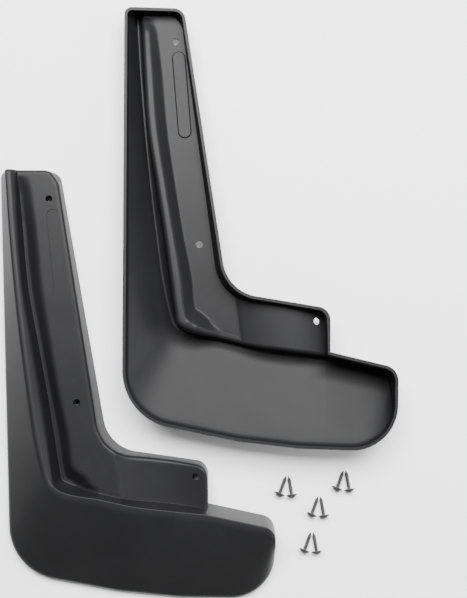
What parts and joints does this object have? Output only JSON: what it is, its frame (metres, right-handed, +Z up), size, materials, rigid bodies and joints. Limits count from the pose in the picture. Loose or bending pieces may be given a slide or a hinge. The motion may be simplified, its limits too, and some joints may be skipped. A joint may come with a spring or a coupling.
{
  "type": "mud flap set",
  "caption": "Mirrored pair of thin-wall moulded mud flaps with a ridged column, a screw plate with a tab and a broad foot, laid out with their self-tapping screws.",
  "frame": {"origin": "middle of the laid-out set, on the surface it lies on", "axes": "+Y up the columns of the flaps, +X towards the free ends of their feet, +Z up from the surface"},
  "size_m": [0.3895, 0.5818, 0.0505],
  "materials": {
    "flap_plastic": "black moulded polyethylene, fine grain with a low sheen",
    "screw_steel": "black phosphated steel"
  },
  "bodies": {
    "root": {"left_flap": "flap_plastic", "right_flap": "flap_plastic", "screw_1": "screw_steel", "screw_2": "screw_steel", "screw_3": "screw_steel", "screw_4": "screw_steel", "screw_5": "screw_steel", "screw_6": "screw_steel", "screw_7": "screw_steel", "screw_8": "screw_steel"}
  },
  "joints": []
}
